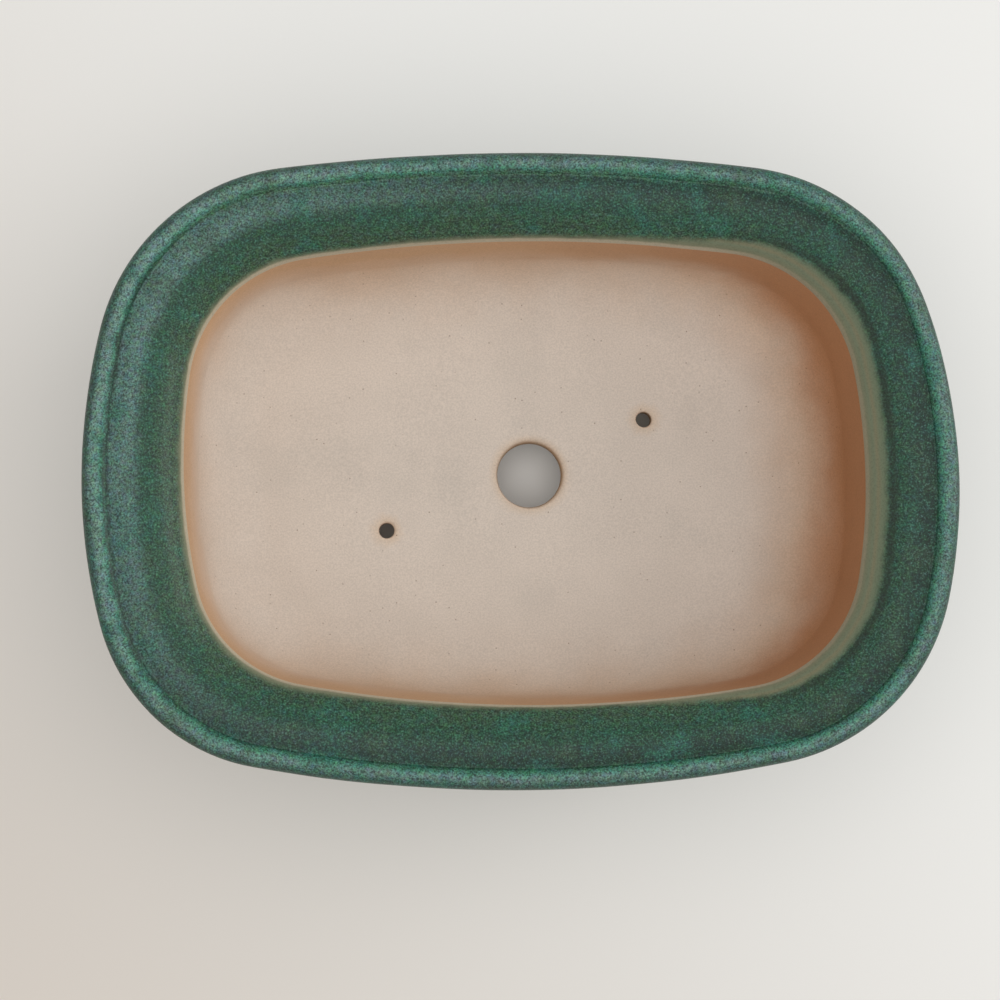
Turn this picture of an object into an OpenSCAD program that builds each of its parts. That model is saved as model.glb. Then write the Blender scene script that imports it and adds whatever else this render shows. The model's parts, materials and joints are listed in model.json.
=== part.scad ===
// A flared, glazed stoneware bonsai pot on four corner feet, in the clay pieces that it is luted from.
// Millimetres, +Z up. The origin is the middle of the footprint, on the surface that the feet stand on.
// Each ring of the pot is one outline: four slow bows joined by four tangent corner arcs. Outlines blend
// from the rim's outer edge to the mouth, so one inset and one height place any ring of any profile.

/* [Rim] */
// Length over the rim, along X
rim_l = 240; // [220:1:260]
// Width over the rim, along Y
rim_w = 175; // [165:1:190]
// Radius of the slow bow along the front and the back of the rim
rim_bow_long = 425; // [400:5:600]
// Radius of the slow bow across each end of the rim
rim_bow_end = 156; // [150:1:200]
// Radius of the corners of the rim
rim_corner = 56; // [50:1:60]
// Radius of the rolled bead round the edge, in the clay
bead_r = 3; // [2.5:0.1:3.5]
// Height of the groove inside the bead below the top of the bead
groove_depth = 2.6; // [2.2:0.1:3.2]
// Inset of the soft crest of the rim
crest_inset = 11.5; // [10:0.1:13]
// Height of the clay crest below the top of the pot
crest_drop = 1.7; // [1:0.1:2.5]
// Inset of the arris where the rim turns down into the mouth
arris_inset = 22.3; // [21:0.1:23]
// Height of the arris below the top of the pot
arris_drop = 6; // [5:0.1:8]

/* [Mouth] */
// Length of the mouth at the glaze line, along X
mouth_l = 190; // [188:0.5:192]
// Width of the mouth at the glaze line, along Y
mouth_w = 130; // [128:0.5:134]
// Radius of the slow bow along the front and the back of the mouth
mouth_bow_long = 384; // [360:1:420]
// Radius of the slow bow across each end of the mouth
mouth_bow_end = 163; // [155:1:175]
// Radius of the corners of the mouth
mouth_corner = 38; // [34:1:42]
// Depth of the glaze line below the top of the pot
mouth_drop = 12.7; // [11:0.1:15]

/* [Wall and floor] */
// Height of the pot, from the table to the top of the bead
pot_h = 70; // [66:1:78]
// Height of the seam between the wall and the rim
neck_z = 48; // [44:1:50]
// Inset of the outer face at that seam
neck_inset = 18.6; // [17.5:0.1:19.5]
// Inset of the outer face at the foot of the wall
base_inset = 24; // [22:0.1:25]
// How far the outer face bellies out between the two
belly = 0.8; // [0:0.1:2]
// Thickness of the floor slab
slab_t = 7; // [5:0.5:9]
// Radius of the lower edge of the slab
edge_r = 3; // [2:0.5:4]
// Radius of the cove inside, between wall and floor
cove_r = 17.5; // [12:0.5:19]
// How far the inner face draws in between the glaze line and the cove
inner_draft = 2.1; // [1:0.1:3]

/* [Holes] */
// Diameter of the drain hole
drain_d = 18.5; // [14:0.5:24]
// Middle of the drain hole, set by hand a little off centre
drain_at = [4, 1]; // [-6:0.5:6]
// Diameter of each wire hole
wire_d = 4.4; // [3:0.1:6]
// Middle of the left wire hole
wire_left_at = [-37, -15]; // [-40:0.5:40]
// Middle of the right wire hole
wire_right_at = [37, 17]; // [-40:0.5:40]

/* [Feet] */
// Height of the feet
foot_h = 9; // [6:0.5:12]
// Width of a foot where it joins the slab
foot_w = 12; // [9:0.5:15]
// How far each face of a foot tapers in towards the table
foot_taper = 1.2; // [0.5:0.1:2]
// Radius of the scoop under each end of a foot
foot_scoop = 6; // [4:0.5:7]

/* [Glaze] */
// Thickness of the full green coat
glaze_t = 0.7; // [0.5:0.05:0.8]
// Thickness of the coat where it thins over the arris
thin_t = 0.35; // [0.25:0.05:0.4]
// Height above the table where the glaze on the feet stops
foot_bare = 2.5; // [2:0.1:4]

/* [Hidden] */

clay_bare = [0.76, 0.68, 0.60];
clay_grey = [0.66, 0.58, 0.50];
glaze_green = [0.27, 0.37, 0.32];
glaze_thin = [0.62, 0.58, 0.48];

// How far the bead is pressed into the edge of the rim, and how far the rim reaches below it.
bead_bite = 0.7;
bead_seat = 0.3;
// Handles of the curves across the rim, as steps from the points that they leave or reach.
groove_out = [1.2, -0.2];
crest_in = [-3.2, 0];
crest_out = [3.5, 0];
arris_in = [-3.3, 1.8];
arris_out = [1.9, -1.1];
mouth_in = [-0.2, 3.7];
// Chamfer round the bottom of a foot, its set-back from the edge of the slab, and the glaze on it.
foot_edge = 1.2;
foot_setback = 0.5;
foot_glaze_t = 0.5;
// How far a cutter runs past the face that it cuts.
past = 1;

end_steps = 3;
corner_steps = 9;
long_steps = 4;
quarter_steps = end_steps + corner_steps + long_steps;
ring_points = 4 * quarter_steps;
fine = 96;

// An outline is [half length, half width, long-side radius, end radius, corner radius].
rim_outline = [rim_l / 2, rim_w / 2, rim_bow_long, rim_bow_end, rim_corner];
mouth_outline = [mouth_l / 2, mouth_w / 2, mouth_bow_long, mouth_bow_end, mouth_corner];
mouth_inset = (rim_l - mouth_l) / 2;

slab_top = foot_h + slab_t;
edge_top = foot_h + edge_r;
mouth_z = pot_h - mouth_drop;
cove_top = slab_top + cove_r;
flange_edge = glaze_t + 2 * bead_r - bead_bite;
bead_centre = [glaze_t + bead_r, pot_h - glaze_t - bead_r];
flange_z = bead_centre[1] - bead_r - bead_seat;

function lerp(a, b, t) = a + (b - a) * t;
function tail(list) = [for (i = [1:len(list) - 1]) list[i]];
function slice(list, from, to) = [for (i = [from:to]) list[i]];
function backwards(list) = [for (i = [len(list) - 1:-1:0]) list[i]];
function angle_of(v) = atan2(v[1], v[0]);
function arc(centre, r, from, to, steps) =
    [for (i = [0:steps]) let (a = lerp(from, to, i / steps)) centre + r * [cos(a), sin(a)]];
function bezier(p, steps) =
    [for (i = [0:steps])
        let (t = i / steps, s = 1 - t)
        pow(s, 3) * p[0] + 3 * s * s * t * p[1] + 3 * s * t * t * p[2] + pow(t, 3) * p[3]];

// The outline that lies this far inside the rim's edge, measured at the ends.
function outline_at(inset) = lerp(rim_outline, mouth_outline, inset / mouth_inset);
function long_centre(o) = [0, o[1] - o[2]];
function end_centre(o) = [o[0] - o[3], 0];
// The corner arc touches the long bow and the end bow from inside, so its centre is where two circles cross.
function corner_centre(o) =
    let (c1 = long_centre(o), c2 = end_centre(o), q1 = o[2] - o[4], q2 = o[3] - o[4])
    let (d = norm(c2 - c1), u = (c2 - c1) / d)
    let (along = (q1 * q1 - q2 * q2 + d * d) / (2 * d), across = sqrt(q1 * q1 - along * along))
    c1 + along * u + across * [u[1], -u[0]];
function corner_from(o) = angle_of(corner_centre(o) - end_centre(o));
function corner_to(o) = angle_of(corner_centre(o) - long_centre(o));
function quarter(o) =
    concat(arc(end_centre(o), o[3], 0, corner_from(o), end_steps),
           tail(arc(corner_centre(o), o[4], corner_from(o), corner_to(o), corner_steps)),
           tail(arc(long_centre(o), o[2], corner_to(o), 90, long_steps)));
function ring(inset, z) =
    let (q = quarter(outline_at(inset)), n = quarter_steps)
    concat([for (i = [0:n]) [q[i][0], q[i][1], z]],
           [for (i = [n - 1:-1:0]) [-q[i][0], q[i][1], z]],
           [for (i = [1:n]) [-q[i][0], -q[i][1], z]],
           [for (i = [n - 1:-1:1]) [q[i][0], -q[i][1], z]]);

// Two triangles for each step along the profile and round the ring.
function skin(rows, closed) =
    [for (i = [0:rows - (closed ? 1 : 2)], j = [0:ring_points - 1])
        let (k = (j + 1) % ring_points, a = i * ring_points, b = ((i + 1) % rows) * ring_points)
        each [[a + j, a + k, b + k], [a + j, b + k, b + j]]];

// A hoop of clay or glaze: a closed profile of [inset, height] points carried round the outline.
module hoop(profile) {
    polyhedron([for (p = profile) each ring(p[0], p[1])], skin(len(profile), true));
}

// A solid plate: the rings of its edge, closed by a flat face at the bottom and the top.
module plate(profile) {
    rows = len(profile);
    last = (rows - 1) * ring_points;
    caps = [[for (j = [0:ring_points - 1]) j], [for (j = [ring_points - 1:-1:0]) last + j]];
    polyhedron([for (p = profile) each ring(p[0], p[1])], concat(skin(rows, false), caps));
}

// The faces of the clay, as paths of [inset, height], from the lower edge outside to the floor inside.
function wall_inset(z) =
    let (s = (z - edge_top) / (neck_z - edge_top))
    lerp(base_inset, neck_inset, s) - belly * 4 * s * (1 - s);
lower_edge = arc([base_inset + edge_r, edge_top], edge_r, 270, 180, 4);
wall_face = [for (i = [0:5]) let (z = lerp(slab_top, neck_z, i / 5)) [wall_inset(z), z]];
flare = [for (i = [0:6])
    let (a = 90 * i / 6)
    [lerp(flange_edge, neck_inset, cos(a)), lerp(neck_z, flange_z, sin(a))]];
bead_turn = acos((flange_edge - bead_centre[0]) / bead_r);
bead_face = concat(arc(bead_centre, bead_r, 270, 90, 8), [bead_centre + bead_r * [cos(bead_turn), sin(bead_turn)]]);
crest = [crest_inset, pot_h - crest_drop];
arris = [arris_inset, pot_h - arris_drop];
mouth = [mouth_inset, mouth_z];
groove = [flange_edge, pot_h - groove_depth];
groove_face = bezier([groove, groove + groove_out, crest + crest_in, crest], 5);
slope_face = bezier([crest, crest + crest_out, arris + arris_in, arris], 6);
turn_face = bezier([arris, arris + arris_out, mouth + mouth_in, mouth], 5);
function inner_inset(z) = mouth_inset + inner_draft * (mouth_z - z) / (mouth_z - cove_top);
cove_centre = [inner_inset(cove_top) + cove_r, cove_top];
cove_face = arc(cove_centre, cove_r, 180, 270, 8);

// The glazed face in one path, so that the three coats meet edge to edge.
outside_path = concat([lower_edge[3], lower_edge[4]], wall_face, tail(flare));
rim_path = concat(bead_face, groove_face, tail(slope_face));
lip_path = tail(turn_face);
glazed = concat(outside_path, rim_path, lip_path);
flange_i = len(outside_path) - 1;
arris_i = flange_i + len(rim_path);
mouth_i = arris_i + len(lip_path);
function coat_at(i) =
    lookup(i, [[0, thin_t], [2, glaze_t], [arris_i - 3, glaze_t], [arris_i, thin_t], [mouth_i, thin_t / 2]]);
// The normal at a point of a path, pointing away from the clay.
function outward(path, i) =
    let (a = path[max(i - 1, 0)], b = path[min(i + 1, len(path) - 1)], d = (b - a) / norm(b - a))
    [-d[1], d[0]];
function coated(path) = [for (i = [0:len(path) - 1]) path[i] + coat_at(i) * outward(path, i)];
function coat(from, to) = concat(slice(glazed, from, to), backwards(slice(coated(glazed), from, to)));

module floor_slab() {
    color(clay_bare)
    difference() {
        plate(concat(lower_edge, [[wall_inset(slab_top), slab_top]]));
        translate([drain_at[0], drain_at[1], foot_h - past])
        cylinder(d = drain_d, h = slab_t + 2 * past, $fn = fine);
        for (at = [wire_left_at, wire_right_at])
            translate([at[0], at[1], foot_h - past])
            cylinder(d = wire_d, h = slab_t + 2 * past, $fn = fine);
    }
}

module wall() {
    color(clay_bare)
    hoop(concat(wall_face, [[inner_inset(neck_z), neck_z], [inner_inset(slab_top), slab_top]]));
}

module seam_coil() {
    color(clay_bare)
    hoop(concat([[inner_inset(slab_top), slab_top]], cove_face));
}

module rim() {
    color(clay_grey)
    hoop(concat(flare, groove_face, tail(slope_face), tail(turn_face), [[inner_inset(neck_z), neck_z]]));
}

module lip_bead() {
    color(clay_grey)
    hoop(concat([[flange_edge, flange_z]], bead_face));
}

module rim_glaze() {
    color(glaze_green)
    hoop(coat(flange_i, arris_i));
}

module lip_glaze() {
    color(glaze_thin)
    hoop(coat(arris_i, mouth_i));
}

module wall_glaze() {
    color(glaze_green)
    hoop(coat(0, flange_i));
}

// The feet are swept round the corner arcs of the outline where the flat underside begins.
foot_inset = base_inset + edge_r + foot_setback;
foot_outline = outline_at(foot_inset);
foot_r = foot_outline[4];
foot_from = corner_from(foot_outline);
foot_to = corner_to(foot_outline);

module foot_body() {
    translate(corner_centre(foot_outline))
    difference() {
        rotate_extrude(angle = foot_to - foot_from, start = foot_from, $fn = fine)
        polygon([[foot_r, foot_h], [foot_r - foot_taper, foot_edge], [foot_r - foot_taper - foot_edge, 0],
                 [foot_r - foot_w + foot_taper + foot_edge, 0], [foot_r - foot_w + foot_taper, foot_edge],
                 [foot_r - foot_w, foot_h]]);
        for (a = [foot_from, foot_to])
            rotate([0, 0, a])
            translate([foot_r - foot_w - past, 0, 0])
            rotate([0, 90, 0])
            cylinder(r = foot_scoop, h = foot_w + 2 * past, $fn = fine);
    }
}

// The glaze on a foot covers its outer face, from the bare band above the table to just under the slab.
module foot_skin() {
    slope = foot_taper / (foot_h - foot_edge);
    top = foot_h - foot_glaze_t;
    low = foot_r - slope * (foot_h - foot_bare);
    high = foot_r - slope * (foot_h - top);
    scoop_turn = asin((foot_scoop + foot_glaze_t) / foot_r);
    translate(corner_centre(foot_outline))
    rotate_extrude(angle = foot_to - foot_from - 2 * scoop_turn, start = foot_from + scoop_turn, $fn = fine)
    polygon([[low, foot_bare], [high, top], [high + foot_glaze_t, top], [low + foot_glaze_t, foot_bare]]);
}

// Puts a child that is made for the back right corner at another corner.
module at_corner(right, back) {
    mirror([right ? 0 : 1, 0, 0])
    mirror([0, back ? 0 : 1, 0])
    children();
}

module foot(right, back) {
    color(clay_grey)
    at_corner(right, back)
    foot_body();
}

module foot_glaze() {
    color(glaze_green)
    for (right = [false, true], back = [false, true])
        at_corner(right, back)
        foot_skin();
}

floor_slab();
wall();
seam_coil();
rim();
lip_bead();
rim_glaze();
lip_glaze();
wall_glaze();
foot(false, false);  // foot_front_left
foot(true, false);  // foot_front_right
foot(false, true);  // foot_back_left
foot(true, true);  // foot_back_right
foot_glaze();
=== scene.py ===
# %% [markdown]
# # A glazed bonsai pot, ring by ring
#
# The pot is a low tray of buff stoneware on four corner feet. A potter lutes it together from a floor slab,
# a band of wall, a coil pressed into the inside seam, a flared rim and a rolled bead, then pours a dark
# green glaze over the rim and the outside and leaves the inside bare. Each of those pieces of clay and
# coats of glaze is modelled here as its own closed solid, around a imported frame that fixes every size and
# place.
#
# The frame is loaded first, because every height and reach below is read from it.

# %% Load the frame
import json
import math

import bmesh
import bpy
import numpy as np
from mathutils import Matrix, Vector, noise


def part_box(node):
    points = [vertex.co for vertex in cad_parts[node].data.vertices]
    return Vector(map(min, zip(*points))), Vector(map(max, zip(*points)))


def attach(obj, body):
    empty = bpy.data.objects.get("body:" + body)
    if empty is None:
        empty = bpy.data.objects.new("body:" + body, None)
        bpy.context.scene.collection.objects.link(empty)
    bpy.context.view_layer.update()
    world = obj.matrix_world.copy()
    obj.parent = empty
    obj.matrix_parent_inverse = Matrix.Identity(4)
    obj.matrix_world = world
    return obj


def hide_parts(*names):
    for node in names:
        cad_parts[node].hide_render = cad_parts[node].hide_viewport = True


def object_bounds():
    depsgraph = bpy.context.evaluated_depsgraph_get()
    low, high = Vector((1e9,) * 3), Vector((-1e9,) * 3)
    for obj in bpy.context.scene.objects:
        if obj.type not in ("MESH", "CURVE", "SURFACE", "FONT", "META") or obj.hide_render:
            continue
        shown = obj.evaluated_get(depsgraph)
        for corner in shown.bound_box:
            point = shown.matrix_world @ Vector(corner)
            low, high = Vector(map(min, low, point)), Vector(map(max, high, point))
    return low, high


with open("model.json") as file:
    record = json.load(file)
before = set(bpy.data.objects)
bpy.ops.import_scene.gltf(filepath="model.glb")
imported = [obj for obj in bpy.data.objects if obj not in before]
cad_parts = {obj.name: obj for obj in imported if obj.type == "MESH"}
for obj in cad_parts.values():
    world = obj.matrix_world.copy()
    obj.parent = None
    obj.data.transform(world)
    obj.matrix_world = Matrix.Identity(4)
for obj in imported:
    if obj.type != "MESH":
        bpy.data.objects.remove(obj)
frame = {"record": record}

MM = 0.001
scene = bpy.context.scene
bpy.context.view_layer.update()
half_length, half_width, pot_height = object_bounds()[1]
print(f"frame: {2 * half_length:.4f} x {2 * half_width:.4f} x {pot_height:.4f} m")

# %% [markdown]
# ## The camera
#
# The pot is looked at from almost straight above, from about arm's length, so that the flared rim, the bare
# inside and the holes in the floor are seen together. A camera that looks down has no natural "up", and
# tracking it to a point would roll it, so its three axes are worked out by hand: right stays along the
# pot's length, and up follows from it.

# %% Place the camera
EYE = Vector((-0.0333, -0.0436, 0.964))
AIM = Vector((-0.0060, -0.0081, 0.064))
camera_data = bpy.data.cameras.new("camera")
camera_data.lens = 118.9
camera_data.sensor_width = 36.0
camera = bpy.data.objects.new("camera", camera_data)
scene.collection.objects.link(camera)
scene.camera = camera

back = (EYE - AIM).normalized()
right = Vector((1, 0, 0))
right = (right - right.dot(back) * back).normalized()
up = back.cross(right)
turned = Matrix((right, up, back)).transposed()
camera.matrix_world = Matrix.Translation(EYE) @ turned.to_4x4()
print(f"camera: {(EYE - AIM).length:.3f} m away, {camera_data.lens} mm lens")

# %% [markdown]
# ## Light and ground
#
# A pot like this is shown on a plain white sheet by a big window: one broad, soft light from the right and
# a little behind, and pale light from all round that fills the shadows. The broad light shades the inside
# of the right-hand wall, and puts a soft sheen on the left of the rim. The finishes below add painted shade
# to that wall and a painted sheen to the left of the rim.

# %% Light the scene
world = bpy.data.worlds.new("soft_room")
world.use_nodes = True
sky = world.node_tree.nodes["Background"]
sky.inputs["Color"].default_value = (1.0, 0.985, 0.965, 1)
sky.inputs["Strength"].default_value = 0.60
scene.world = world


def window(name, place, aim, width, height, power, colour):
    """A rectangular soft light at a place, turned to shine on a point."""
    data = bpy.data.lights.new(name, "AREA")
    data.shape = "RECTANGLE"
    data.size = width
    data.size_y = height
    data.energy = power
    data.color = colour
    lamp = bpy.data.objects.new(name, data)
    scene.collection.objects.link(lamp)
    lamp.location = place
    lamp.rotation_mode = "QUATERNION"
    lamp.rotation_quaternion = (Vector(aim) - Vector(place)).to_track_quat("-Z", "Y")


window("overhead_sheet", (0.06, -0.08, 1.50), (0, 0, 0), 1.9, 1.9, 8.9, (1.0, 0.99, 0.975))
window("window_light", (1.30, 0.30, 0.55), (0, 0, 0.04), 0.9, 0.7, 6.6, (1.0, 0.995, 0.985))

scene.view_settings.view_transform = "Standard"
scene.view_settings.look = "None"
scene.view_settings.exposure = 0.0
scene.view_settings.gamma = 1.0
lamps = [thing for thing in scene.objects if thing.type == "LIGHT"]
print(f"{len(lamps)} soft lights, {sum(lamp.data.energy for lamp in lamps):.1f} W in all")

# %% [markdown]
# ## Helpers for shader nodes
#
# A finish is a small network of shader nodes. Placing and wiring each node by hand takes five lines, so
# short helpers do it: one adds a node, and the others name the jobs that come back again and again, such as
# easing a value from one range into another, or making soft noise with lumps of a known size.

# %% Small helpers for shader nodes
def tint(red, green, blue):
    """A colour given from 0 to 255, turned into the light values that a shader works in."""
    parts = [c / 255 for c in (red, green, blue)]
    return (*(c / 12.92 if c <= 0.04045 else ((c + 0.055) / 1.055) ** 2.4 for c in parts), 1.0)


def add(tree, kind, wires=None, **settings):
    """A shader node of a kind with its settings, and its sockets either set or wired."""
    made = tree.nodes.new("ShaderNode" + kind)
    for name, value in settings.items():
        setattr(made, name, value)
    for name, value in (wires or {}).items():
        if isinstance(value, bpy.types.NodeSocket):
            tree.links.new(value, made.inputs[name])
        else:
            made.inputs[name].default_value = value
    return made


def maths(tree, operation, a, b=0.0):
    return add(tree, "Math", {0: a, 1: b}, operation=operation).outputs[0]


def times(tree, first, *others):
    """Values multiplied together. Masks multiplied hold only where all of them do."""
    for other in others:
        first = maths(tree, "MULTIPLY", first, other)
    return first


def plus(tree, first, *others):
    for other in others:
        first = maths(tree, "ADD", first, other)
    return first


def between(tree, value, low, high, out_low=0.0, out_high=1.0):
    """A value eased from one range into another, and held at its ends."""
    wires = {"Value": value, "From Min": low, "From Max": high, "To Min": out_low, "To Max": out_high}
    return add(tree, "MapRange", wires, interpolation_type="SMOOTHSTEP").outputs["Result"]


def within(tree, value, start, full, fading, end):
    """A mask of 1 along part of a value, easing to 0 before and after it."""
    return times(tree, between(tree, value, start, full), between(tree, value, end, fading))


def mix(tree, factor, a, b, blend="MIX"):
    return add(tree, "Mix", {0: factor, 6: a, 7: b}, data_type="RGBA", blend_type=blend).outputs[2]


def scaled(tree, colour, factor):
    """A colour made lighter or darker by a factor."""
    return add(tree, "VectorMath", {0: colour, 3: factor}, operation="SCALE").outputs[0]


def cloud(tree, place, size, detail=2.0, seed=0.0):
    """Soft noise with lumps of about a given size, in metres."""
    shifted = add(tree, "VectorMath", {0: place, 1: (seed, seed, seed)}, operation="ADD").outputs[0]
    wires = {"Vector": shifted, "Scale": 1 / size, "Detail": detail, "Roughness": 0.55}
    return add(tree, "TexNoise", wires).outputs["Fac"]


def start_material(name):
    """A material, its node tree, its shader and the place on the object."""
    material = bpy.data.materials.new(name)
    material.use_nodes = True
    tree = material.node_tree
    place = add(tree, "TexCoord").outputs["Object"]
    return material, tree, tree.nodes["Principled BSDF"], place


def set_shader(tree, shader, colour, roughness, shine):
    """Gives a material's own shader its colour, how rough it is and how strongly it reflects."""
    tree.links.new(colour, shader.inputs["Base Color"])
    shader.inputs["Roughness"].default_value = roughness
    shader.inputs["Specular IOR Level"].default_value = shine


print(f"helpers ready, middle grey is {tint(188, 188, 188)[0]:.2f} in light values")

# %% [markdown]
# ## The sheet
#
# The sheet is matt paper, white towards the window and a warmer grey away from it, and that grey is painted
# shade. Part of its brightness is a painted glow, so that the shadow round the pot stays pale: a plain matt
# surface would leave that shadow too dark. There is no glow under the pot, where no light gets in.

# %% Lay the white sheet
sheet_mesh = bmesh.new()
bmesh.ops.create_grid(sheet_mesh, x_segments=1, y_segments=1, size=3.0)
sheet_data = bpy.data.meshes.new("ground")
sheet_mesh.to_mesh(sheet_data)
sheet_mesh.free()
ground = bpy.data.objects.new("ground", sheet_data)
scene.collection.objects.link(ground)

# The warm grey away from the window is painted shade, and the glow is painted light.
PAINTED_GLOW = 0.22
SHEET_IN_PAINTED_SHADE = (0.700, 0.640, 0.578, 1)
SHEET_WHITE = (0.880, 0.880, 0.862, 1)
paper, tree, shader, place = start_material("white_sheet")
near_window = add(tree, "VectorMath", {0: place, 1: (0.75, 0.66, 0.0)}, operation="DOT_PRODUCT")
painted_light_on_sheet = between(tree, near_window.outputs["Value"], -0.28, 0.10)
sheet_colour_and_shade = mix(tree, painted_light_on_sheet, SHEET_IN_PAINTED_SHADE, SHEET_WHITE)
from_middle = add(tree, "VectorMath", {0: place}, operation="LENGTH").outputs["Value"]
glow = between(tree, from_middle, 0.05, 0.10, 0.0, PAINTED_GLOW)
reflecting = maths(tree, "SUBTRACT", 1.0, times(tree, glow, 1.05))
set_shader(tree, shader, scaled(tree, sheet_colour_and_shade, reflecting), 0.85, 0.2)
tree.links.new(sheet_colour_and_shade, shader.inputs["Emission Color"])
tree.links.new(glow, shader.inputs["Emission Strength"])
ground.data.materials.append(paper)
print(f"{ground.name} laid: {ground.dimensions.x:.1f} m across, with a glow of {PAINTED_GLOW}")

# %% [markdown]
# ## The outline
#
# Seen from above, the pot is a rectangle with bowed sides and round corners: four slow curves joined by
# four tighter arcs, each arc touching its neighbours so that the line never breaks. It was shaped by hand,
# so the bows and corners differ a little from each other. One table holds the outer edge of the rim and
# another the mouth, where the glaze stops. Any ring in between, or further in, is a blend of the two, so a
# single number, its inset from the rim's edge, names it.

# %% Describe the two outlines
# One row for each side, counter-clockwise from the right: reach from the middle, how far the middle of the
# bow slides along the side, radius of the bow, radius of the corner that follows.
HAND_ROOM = 0.35 * MM
RIM_EDGE = np.array([
    [half_length - HAND_ROOM, -5.0 * MM, 147 * MM, 58 * MM],
    [half_width - 2.1 * HAND_ROOM, 1.0 * MM, 516 * MM, 58 * MM],
    [half_length - HAND_ROOM, -1.0 * MM, 164 * MM, 52.5 * MM],
    [half_width - 1.3 * HAND_ROOM, -3.0 * MM, 379 * MM, 57 * MM],
])
MOUTH_EDGE = np.array([
    [95.2 * MM, -4.0 * MM, 166 * MM, 40.0 * MM],
    [63.7 * MM, 5.5 * MM, 417 * MM, 37.5 * MM],
    [92.7 * MM, 3.6 * MM, 164 * MM, 35.2 * MM],
    [64.3 * MM, 3.5 * MM, 359 * MM, 36.5 * MM],
])
MOUTH_INSET = 25 * MM
SIDE_STEPS = (22, 38, 22, 38)
CORNER_STEPS = 26
DIRECTIONS = (Vector((1, 0)), Vector((0, 1)), Vector((-1, 0)), Vector((0, -1)))
SLIDES = (Vector((0, 1)), Vector((1, 0)), Vector((0, 1)), Vector((1, 0)))


def touching_centre(c1, r1, c2, r2, towards):
    """Where a circle's centre lies when it is r1 from c1 and r2 from c2, on the side of a direction."""
    gap = c2 - c1
    distance = gap.length
    along = (r1 * r1 - r2 * r2 + distance * distance) / (2 * distance)
    across = math.sqrt(r1 * r1 - along * along)
    unit = gap / distance
    foot = c1 + along * unit
    sideways = Vector((-unit.y, unit.x)) * across
    return max((foot + sideways, foot - sideways), key=lambda p: p.dot(towards))


def bearing(vector):
    return math.atan2(vector.y, vector.x)


def outline_arcs(inset):
    """The arcs of one ring, counter-clockwise from the right: centre, radius, first bearing, turn, steps."""
    sides = (RIM_EDGE + (MOUTH_EDGE - RIM_EDGE) * (inset / MOUTH_INSET)).tolist()
    bows = [DIRECTIONS[k] * (reach - bow) + SLIDES[k] * slide
            for k, (reach, slide, bow, corner) in enumerate(sides)]
    corners = []
    for k in range(4):
        following = (k + 1) % 4
        corner = sides[k][3]
        corners.append(touching_centre(bows[k], sides[k][2] - corner, bows[following],
                                       sides[following][2] - corner,
                                       DIRECTIONS[k] + DIRECTIONS[following]))
    arcs = []
    for k in range(4):
        enter = bearing(corners[k - 1] - bows[k])
        leave = bearing(corners[k] - bows[k])
        turn = (leave - enter) % (2 * math.pi)
        arcs.append((bows[k], sides[k][2], enter, turn, SIDE_STEPS[k]))
        following = bearing(corners[k] - bows[(k + 1) % 4])
        arcs.append((corners[k], sides[k][3], leave, (following - leave) % (2 * math.pi), CORNER_STEPS))
    return arcs


RING_POINTS = sum(arc[4] for arc in outline_arcs(0))
print(f"outline: {len(outline_arcs(0))} arcs, {RING_POINTS} points a ring")

# %% [markdown]
# ## Rings and skins
#
# A ring is drawn the way a compass draws it. One point is spun about the centre of the first arc, the last
# point of that is spun about the next centre, and so on until the loop closes. Bridging two rings makes the
# strip of skin between them. A hoop of clay or glaze is then a cross-section walked ring by ring, and
# closed back on to its first ring.

# %% Draw rings by spinning a point
ring_sheet = bpy.data.meshes.new("ring_sheet")


def spin_point(ring, tip, centre, turn, steps):
    made = bmesh.ops.spin(ring, geom=[tip], cent=(centre.x, centre.y, tip.co.z), axis=(0, 0, 1),
                          dvec=(0, 0, 0), angle=turn, steps=steps, use_merge=False, use_duplicate=False)
    return next(item for item in made["geom_last"] if isinstance(item, bmesh.types.BMVert))


def lay_down(ring, bm):
    """Copies a closed ring, drawn on its own where spinning is quick, on to the piece."""
    ring.to_mesh(ring_sheet)
    ring.free()
    start = len(bm.verts)
    bm.from_mesh(ring_sheet)
    bm.verts.ensure_lookup_table()
    points = bm.verts[start:]
    return points, list({edge for point in points for edge in point.link_edges})


def lay_ring(bm, inset, height):
    """One closed ring of the outline, at an inset and a height."""
    ring = bmesh.new()
    arcs = outline_arcs(inset)
    centre, radius, enter, turn, steps = arcs[0]
    first = ring.verts.new((centre.x + radius * math.cos(enter), centre.y + radius * math.sin(enter), height))
    tip = first
    for centre, radius, enter, turn, steps in arcs[:-1]:
        tip = spin_point(ring, tip, centre, turn, steps)
    centre, radius, enter, turn, steps = arcs[-1]
    tip = spin_point(ring, tip, centre, turn * (steps - 1) / steps, steps - 1)
    ring.edges.new((tip, first))
    return lay_down(ring, bm)


def lay_circle(bm, centre, radius, height, steps, start=0.0):
    """One closed circle, for the edge of a hole, from a starting bearing."""
    ring = bmesh.new()
    first = ring.verts.new((centre.x + radius * math.cos(start), centre.y + radius * math.sin(start), height))
    tip = spin_point(ring, first, centre, 2 * math.pi * (steps - 1) / steps, steps - 1)
    ring.edges.new((tip, first))
    return lay_down(ring, bm)


LIFT = Vector((0, 0, 0.25))


def bridge(bm, one, other):
    """The strip of skin between two rings. Level rings have no up or down between them, so the second ring is
    lifted while they are joined."""
    for point in other[0]:
        point.co += LIFT
    strip = bmesh.ops.bridge_loops(bm, edges=one[1] + other[1])
    for point in other[0]:
        point.co -= LIFT
    return strip


trial = bmesh.new()
points, edges = lay_ring(trial, 0, 0)
print(f"a ring of {len(points)} points is {sum(edge.calc_length() for edge in edges):.3f} m round")
trial.free()
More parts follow.
